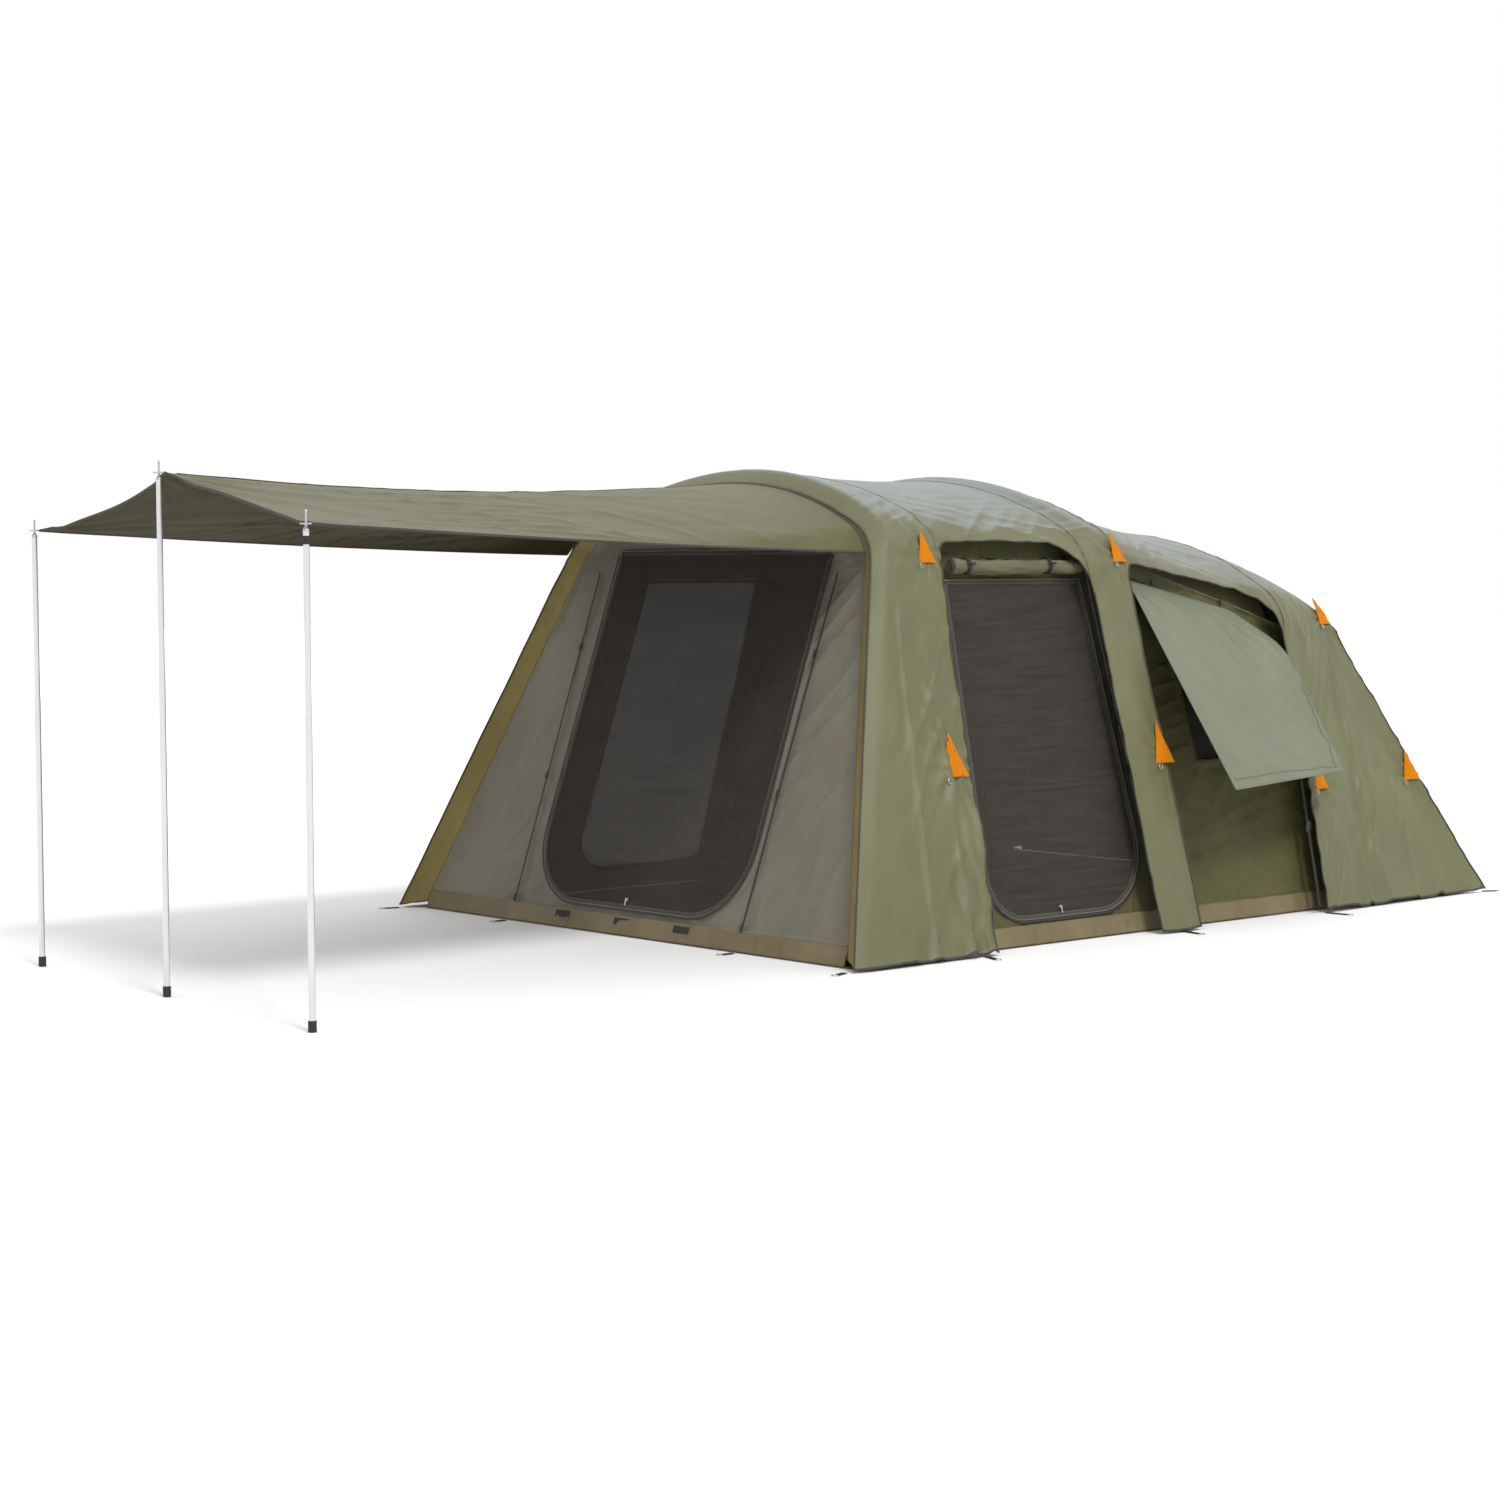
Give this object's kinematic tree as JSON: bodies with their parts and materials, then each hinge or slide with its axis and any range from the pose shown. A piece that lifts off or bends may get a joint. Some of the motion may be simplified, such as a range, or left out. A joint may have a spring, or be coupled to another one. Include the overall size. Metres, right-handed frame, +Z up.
{
  "type": "inflatable frame tent with pole awning",
  "caption": "Three-arch air-beam tent with mesh doors, propped window flaps and a front awning held up on telescopic poles.",
  "frame": {"origin": "on the ground, at the middle of the cabin floor", "axes": "+X towards the right-hand side doorway, +Y from the awning towards the rear wall, +Z up"},
  "size_m": [3.491, 6.8774, 2.0775],
  "materials": {
    "fly": "woven polyester, slight sheen",
    "wall": "matt woven cloth",
    "floor": "coated cloth",
    "netting": "fine insect mesh",
    "beam": "coated air sleeve",
    "black_plastic": "moulded",
    "webbing": "black webbing and tape",
    "tab": "orange cloth",
    "steel": "plated wire",
    "flap": "coated cloth",
    "tube": "satin",
    "rubber": "matt",
    "tip": "turned"
  },
  "bodies": {
    "tent": {"floor_sheet": "floor", "floor_skirt": "floor", "front_wall": "wall", "rear_wall": "wall", "door_wall_right": "wall", "door_wall_left": "wall", "window_wall_right": "wall", "window_wall_left": "wall", "fly_front": "fly", "fly_middle": "fly", "fly_rear": "fly", "roof_front": "fly", "roof_rear": "fly", "beam_front": "beam", "beam_middle": "beam", "beam_rear": "beam", "valve_bodies": "black_plastic", "front_zip": "webbing", "side_zip_right": "webbing", "side_zip_left": "webbing", "rolled_door_front": "wall", "rolled_door_right": "wall", "rolled_door_left": "wall", "roll_ties": "webbing", "window_mesh_right": "netting", "window_mesh_left": "netting", "zip_toggles": "webbing", "hook_patches": "webbing", "guy_tabs": "tab", "guy_rings": "steel", "peg_straps": "webbing", "peg_rings": "steel", "arch_loops": "webbing", "rear_cover": "wall"},
    "awning": {"awning_sheet": "fly", "awning_eyelets": "steel"},
    "pole_right_upper": {"upper_tube_right": "tube", "pole_tip_right": "tip", "awning_straps": "webbing"},
    "pole_right_lower": {"lower_tube_right": "tube", "pole_foot_right": "rubber"},
    "pole_middle_upper": {"upper_tube_middle": "tube", "pole_tip_middle": "tip"},
    "pole_middle_lower": {"lower_tube_middle": "tube", "pole_foot_middle": "rubber"},
    "pole_left_upper": {"upper_tube_left": "tube", "pole_tip_left": "tip"},
    "pole_left_lower": {"lower_tube_left": "tube", "pole_foot_left": "rubber"},
    "front_door": {"mesh_door_front": "netting"},
    "front_slider": {"zip_slider_front": "steel"},
    "right_door": {"mesh_door_right": "netting"},
    "right_slider": {"zip_slider_right": "steel"},
    "left_door": {"mesh_door_left": "netting"},
    "left_slider": {"zip_slider_left": "steel"},
    "right_flap": {"window_flap_right": "flap"},
    "left_flap": {"window_flap_left": "flap"},
    "front_valve_cap": {"valve_cap_front": "black_plastic"},
    "middle_valve_cap": {"valve_cap_middle": "black_plastic"},
    "rear_valve_cap": {"valve_cap_rear": "black_plastic"}
  },
  "joints": [
    {"name": "awning_pitch", "type": "hinge", "parent": "tent", "child": "awning", "pos_m": [0, -1.60285, 1.69], "axis": [1, 0, 0], "range_deg": [0, 10.5]},
    {"name": "pole_right_tilt", "type": "hinge", "parent": "awning", "child": "pole_right_upper", "pos_m": [1.37805, -4.62583, 1.7855], "axis": [1, 0, 0], "range_deg": [-10.6, 0.1]},
    {"name": "pole_right_slide", "type": "slide", "parent": "pole_right_upper", "child": "pole_right_lower", "axis": [0, 0, 1], "range_m": [0, 0.575]},
    {"name": "pole_middle_tilt", "type": "hinge", "parent": "awning", "child": "pole_middle_upper", "pos_m": [0.27, -4.56, 1.9915], "axis": [1, 0, 0], "range_deg": [-10.6, 0.1]},
    {"name": "pole_middle_slide", "type": "slide", "parent": "pole_middle_upper", "child": "pole_middle_lower", "axis": [0, 0, 1], "range_m": [0, 0.575]},
    {"name": "pole_left_tilt", "type": "hinge", "parent": "awning", "child": "pole_left_upper", "pos_m": [-0.83805, -4.49417, 1.7855], "axis": [1, 0, 0], "range_deg": [-10.6, 0.1]},
    {"name": "pole_left_slide", "type": "slide", "parent": "pole_left_upper", "child": "pole_left_lower", "axis": [0, 0, 1], "range_m": [0, 0.575]},
    {"name": "front_door_swing", "type": "hinge", "parent": "tent", "child": "front_door", "pos_m": [0, -1.52683, 1.69899], "axis": [-1, 0, 0], "range_deg": [0, 55]},
    {"name": "front_zip_slide", "type": "slide", "parent": "front_door", "child": "front_slider", "axis": [1, 0, 0], "range_m": [-0.3, 0.3]},
    {"name": "right_door_swing", "type": "hinge", "parent": "tent", "child": "right_door", "pos_m": [1.0176, -0.685, 1.56414], "axis": [0, 1, 0], "range_deg": [0, 50]},
    {"name": "right_zip_slide", "type": "slide", "parent": "right_door", "child": "right_slider", "axis": [0, 1, 0], "range_m": [-0.2, 0.2]},
    {"name": "left_door_swing", "type": "hinge", "parent": "tent", "child": "left_door", "pos_m": [-1.0176, -0.685, 1.56414], "axis": [0, -1, 0], "range_deg": [0, 50]},
    {"name": "left_zip_slide", "type": "slide", "parent": "left_door", "child": "left_slider", "axis": [0, 1, 0], "range_m": [-0.2, 0.2]},
    {"name": "right_flap_prop", "type": "hinge", "parent": "tent", "child": "right_flap", "pos_m": [1.04153, 0.228, 1.52442], "axis": [-0.0637, -0.9752, 0.2122], "range_deg": [-20, 25]},
    {"name": "left_flap_prop", "type": "hinge", "parent": "tent", "child": "left_flap", "pos_m": [-1.04153, 0.228, 1.52442], "axis": [-0.0637, 0.9752, -0.2122], "range_deg": [-20, 25]},
    {"name": "front_cap_turn", "type": "hinge", "parent": "tent", "child": "front_valve_cap", "pos_m": [1.44004, -1.92706, 0.27908], "axis": [0, 0.9421, -0.3355], "continuous": true},
    {"name": "middle_cap_turn", "type": "hinge", "parent": "tent", "child": "middle_valve_cap", "pos_m": [1.46661, -0.147, 0.31641], "axis": [0, 1, 0], "continuous": true},
    {"name": "rear_cap_turn", "type": "hinge", "parent": "tent", "child": "rear_valve_cap", "pos_m": [1.36626, 1.83472, 0.26872], "axis": [0, -0.9336, -0.3584], "continuous": true}
  ],
  "couplings": [
    {"joint": "pole_right_tilt", "follows": "awning_pitch", "ratio": -1},
    {"joint": "pole_right_slide", "follows": "awning_pitch", "m_per_rad": 3.029},
    {"joint": "pole_middle_tilt", "follows": "awning_pitch", "ratio": -1},
    {"joint": "pole_middle_slide", "follows": "awning_pitch", "m_per_rad": 2.9631},
    {"joint": "pole_left_tilt", "follows": "awning_pitch", "ratio": -1},
    {"joint": "pole_left_slide", "follows": "awning_pitch", "m_per_rad": 2.8971}
  ]
}
